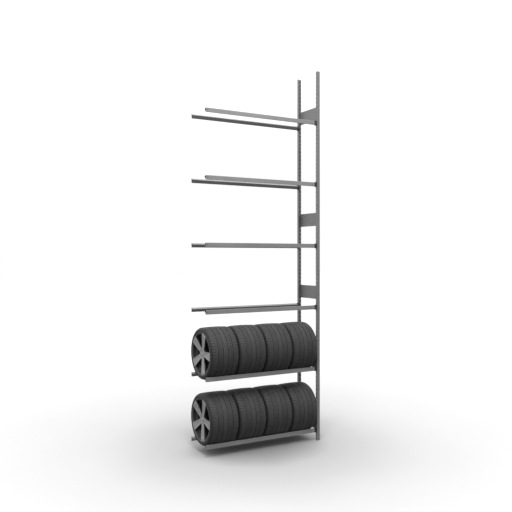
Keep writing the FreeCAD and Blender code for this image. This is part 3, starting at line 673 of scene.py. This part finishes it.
def add_wheels(wheels):
    """The same five detailed pieces for every wheel, each on the body of its CAD wheel.

    The CAD wheels have no centre cap, so the caps are added here.
    """
    # the near-black material is painted shade on the barrel and black paint on the spokes' backs and sides
    silver, black_and_barrel_shade = silver_alloy(), black_paint_and_barrel_shade()
    meshes = {
        "tyre": (tyre_mesh(), (tyre_rubber(),), "tyre"),
        "rim": (barrel_mesh(), (black_and_barrel_shade,), "barrel_black"),
        "spokes": (spokes_mesh(), (silver, black_and_barrel_shade), "alloy"),
        "cap": (cap_mesh(), (moulded_plastic("cap_silver", 0.17, 0.22, 0.35),), "cap_plastic"),
        "valve": (valve_mesh(), (moulded_plastic("valve_black", 0.012, 0.02, 0.6),), "valve_rubber"),
    }
    for mesh, materials, _ in meshes.values():
        for material in materials:
            mesh.materials.append(material)
    half_step = math.pi / SPOKES
    to_valve = Matrix.Translation((-RIM_SIDE + VALVE_INSET, -VALVE_R * math.sin(half_step),
                                   VALVE_R * math.cos(half_step)))
    meshes["valve"][0].transform(to_valve)
    for wheel in wheels:
        axle, turn = wheel_place(wheel)
        for kind, (mesh, _, slot) in meshes.items():
            add_piece(f"{wheel}_{kind}_detail", mesh, turn, axle, wheel, f"{wheel}_{kind}")


# ---------------------------------------------------------------- finishes of the CAD nodes


def dress_cad_nodes():
    """Every carried-over CAD node gets its procedural finish, by the first of these words in its name."""
    post, beam = galvanised_steel(), painted_steel()
    dark_zinc = zinc("dark_zinc", 0.06, 0.095, 0.5)
    bright_zinc = zinc("bright_zinc", 0.2, 0.3, 0.38)
    foot = moulded_plastic("foot_plastic", 0.03, 0.045, 0.6)
    finishes = (("brackets", dark_zinc), ("bolts", bright_zinc), ("nuts", bright_zinc),
                ("clips", bright_zinc), ("foot", foot), ("beam_", beam), ("post", post), ("plate", post))
    for name, node in frame["nodes"].items():
        if node.hide_render:
            continue
        finish = next(material for word, material in finishes if word in name)
        node.data.materials.clear()
        node.data.materials.append(finish)


# ---------------------------------------------------------------- stage, light and camera


# The floor's tone at shares of FLOOR_REACH away from the rack: darker near the rack, a painted soft shadow
# under and round it.
FLOOR_REACH = 10.0
FLOOR_SHADOW_TONES = ((0.0, 0.19), (0.04, 0.21), (0.065, 0.27), (0.09, 0.345), (0.13, 0.36), (0.19, 0.415),
               (0.26, 0.45), (0.4, 0.5), (0.6, 0.57))
FLOOR_HALF = 60.0


def add_floor():
    """A pale floor that reaches past the view on every side, with a painted soft shadow: it is greyer round
    the rack.
    """
    material, tree, shader = new_material("pale_floor_with_painted_shadow", 0.8, specular=0.0)
    coordinates = add_node(tree, "ShaderNodeTexCoord").outputs["Object"]
    away = add_node(tree, "ShaderNodeVectorMath", {"operation": "LENGTH"}, _0=coordinates).outputs["Value"]
    cloud = noise(tree, stretched(tree, EVEN), 0.6, 2.0)
    place = math_node(tree, "ADD", spread(tree, away, 0.0, FLOOR_REACH),
                      spread(tree, cloud, 0.3, 0.7, -0.01, 0.01))
    # painted shadow: the floor's tone darkens towards the rack
    base = ramp(tree, place, [(share, grey(tone)) for share, tone in FLOOR_SHADOW_TONES])
    tree.links.new(base, shader.inputs["Base Color"])
    bm = bmesh.new()
    bmesh.ops.create_grid(bm, x_segments=8, y_segments=8, size=FLOOR_HALF)
    mesh = bpy.data.meshes.new("floor")
    bm.to_mesh(mesh)
    bm.free()
    mesh.materials.append(material)
    floor = bpy.data.objects.new("floor", mesh)
    floor.visible_diffuse = False
    floor.visible_glossy = False
    bpy.context.scene.collection.objects.link(floor)


BELOW, OVERHEAD = 0.35, 2.4                # the studio's brightness under the floor and overhead
KEY_PLACE, KEY_TARGET = Vector((-1.5, -2.5, 6.2)), Vector((0.6, 0.0, 3.2))
KEY_SIZE, KEY_POWER = 1.6, 230.0


def add_key_light():
    """A soft lamp above and to the left of the front, which brightens the upper levels."""
    light = bpy.data.lights.new("key", "AREA")
    light.shape = "DISK"
    light.size = KEY_SIZE
    light.energy = KEY_POWER
    lamp = bpy.data.objects.new("key", light)
    lamp.location = KEY_PLACE
    lamp.rotation_mode = "QUATERNION"
    lamp.rotation_quaternion = (KEY_TARGET - KEY_PLACE).to_track_quat("-Z", "Y")
    bpy.context.scene.collection.objects.link(lamp)


def add_sky():
    """A white studio, brightest overhead, and dim light from below in place of the floor's bounce."""
    world = bpy.data.worlds.new("studio")
    world.use_nodes = True
    tree = world.node_tree
    direction = add_node(tree, "ShaderNodeTexCoord").outputs["Generated"]
    up = add_node(tree, "ShaderNodeSeparateXYZ", Vector=direction).outputs["Z"]
    strength = math_node(tree, "MULTIPLY", spread(tree, up, -0.3, -0.06, BELOW, 1.0),
                         spread(tree, up, 0.12, 1.0, 1.0, OVERHEAD))
    background = tree.nodes["Background"]
    background.inputs["Color"].default_value = grey(1.0)
    tree.links.new(strength, background.inputs["Strength"])
    bpy.context.scene.world = world


CAMERA_PLACE = (-3.761, -6.659, 2.248)
CAMERA_TURN = math.radians(-29.37)
SENSOR, LENS = 36.0, 45.04                 # in millimetres, as Blender's cameras have them


def add_camera():
    """A level camera to the left of the front, at the height of the rack's middle."""
    camera = bpy.data.cameras.new("camera")
    camera.sensor_width = SENSOR
    camera.lens = LENS
    camera.clip_end = 200.0
    stand = bpy.data.objects.new("camera", camera)
    stand.location = CAMERA_PLACE
    stand.rotation_euler = (math.pi / 2, 0.0, CAMERA_TURN)
    bpy.context.scene.collection.objects.link(stand)
    bpy.context.scene.camera = stand


add_wheels([body for body in frame["bodies"] if body.startswith("wheel_")])
dress_cad_nodes()
add_floor()
add_sky()
add_key_light()
add_camera()
bpy.context.scene.view_settings.view_transform = "Standard"
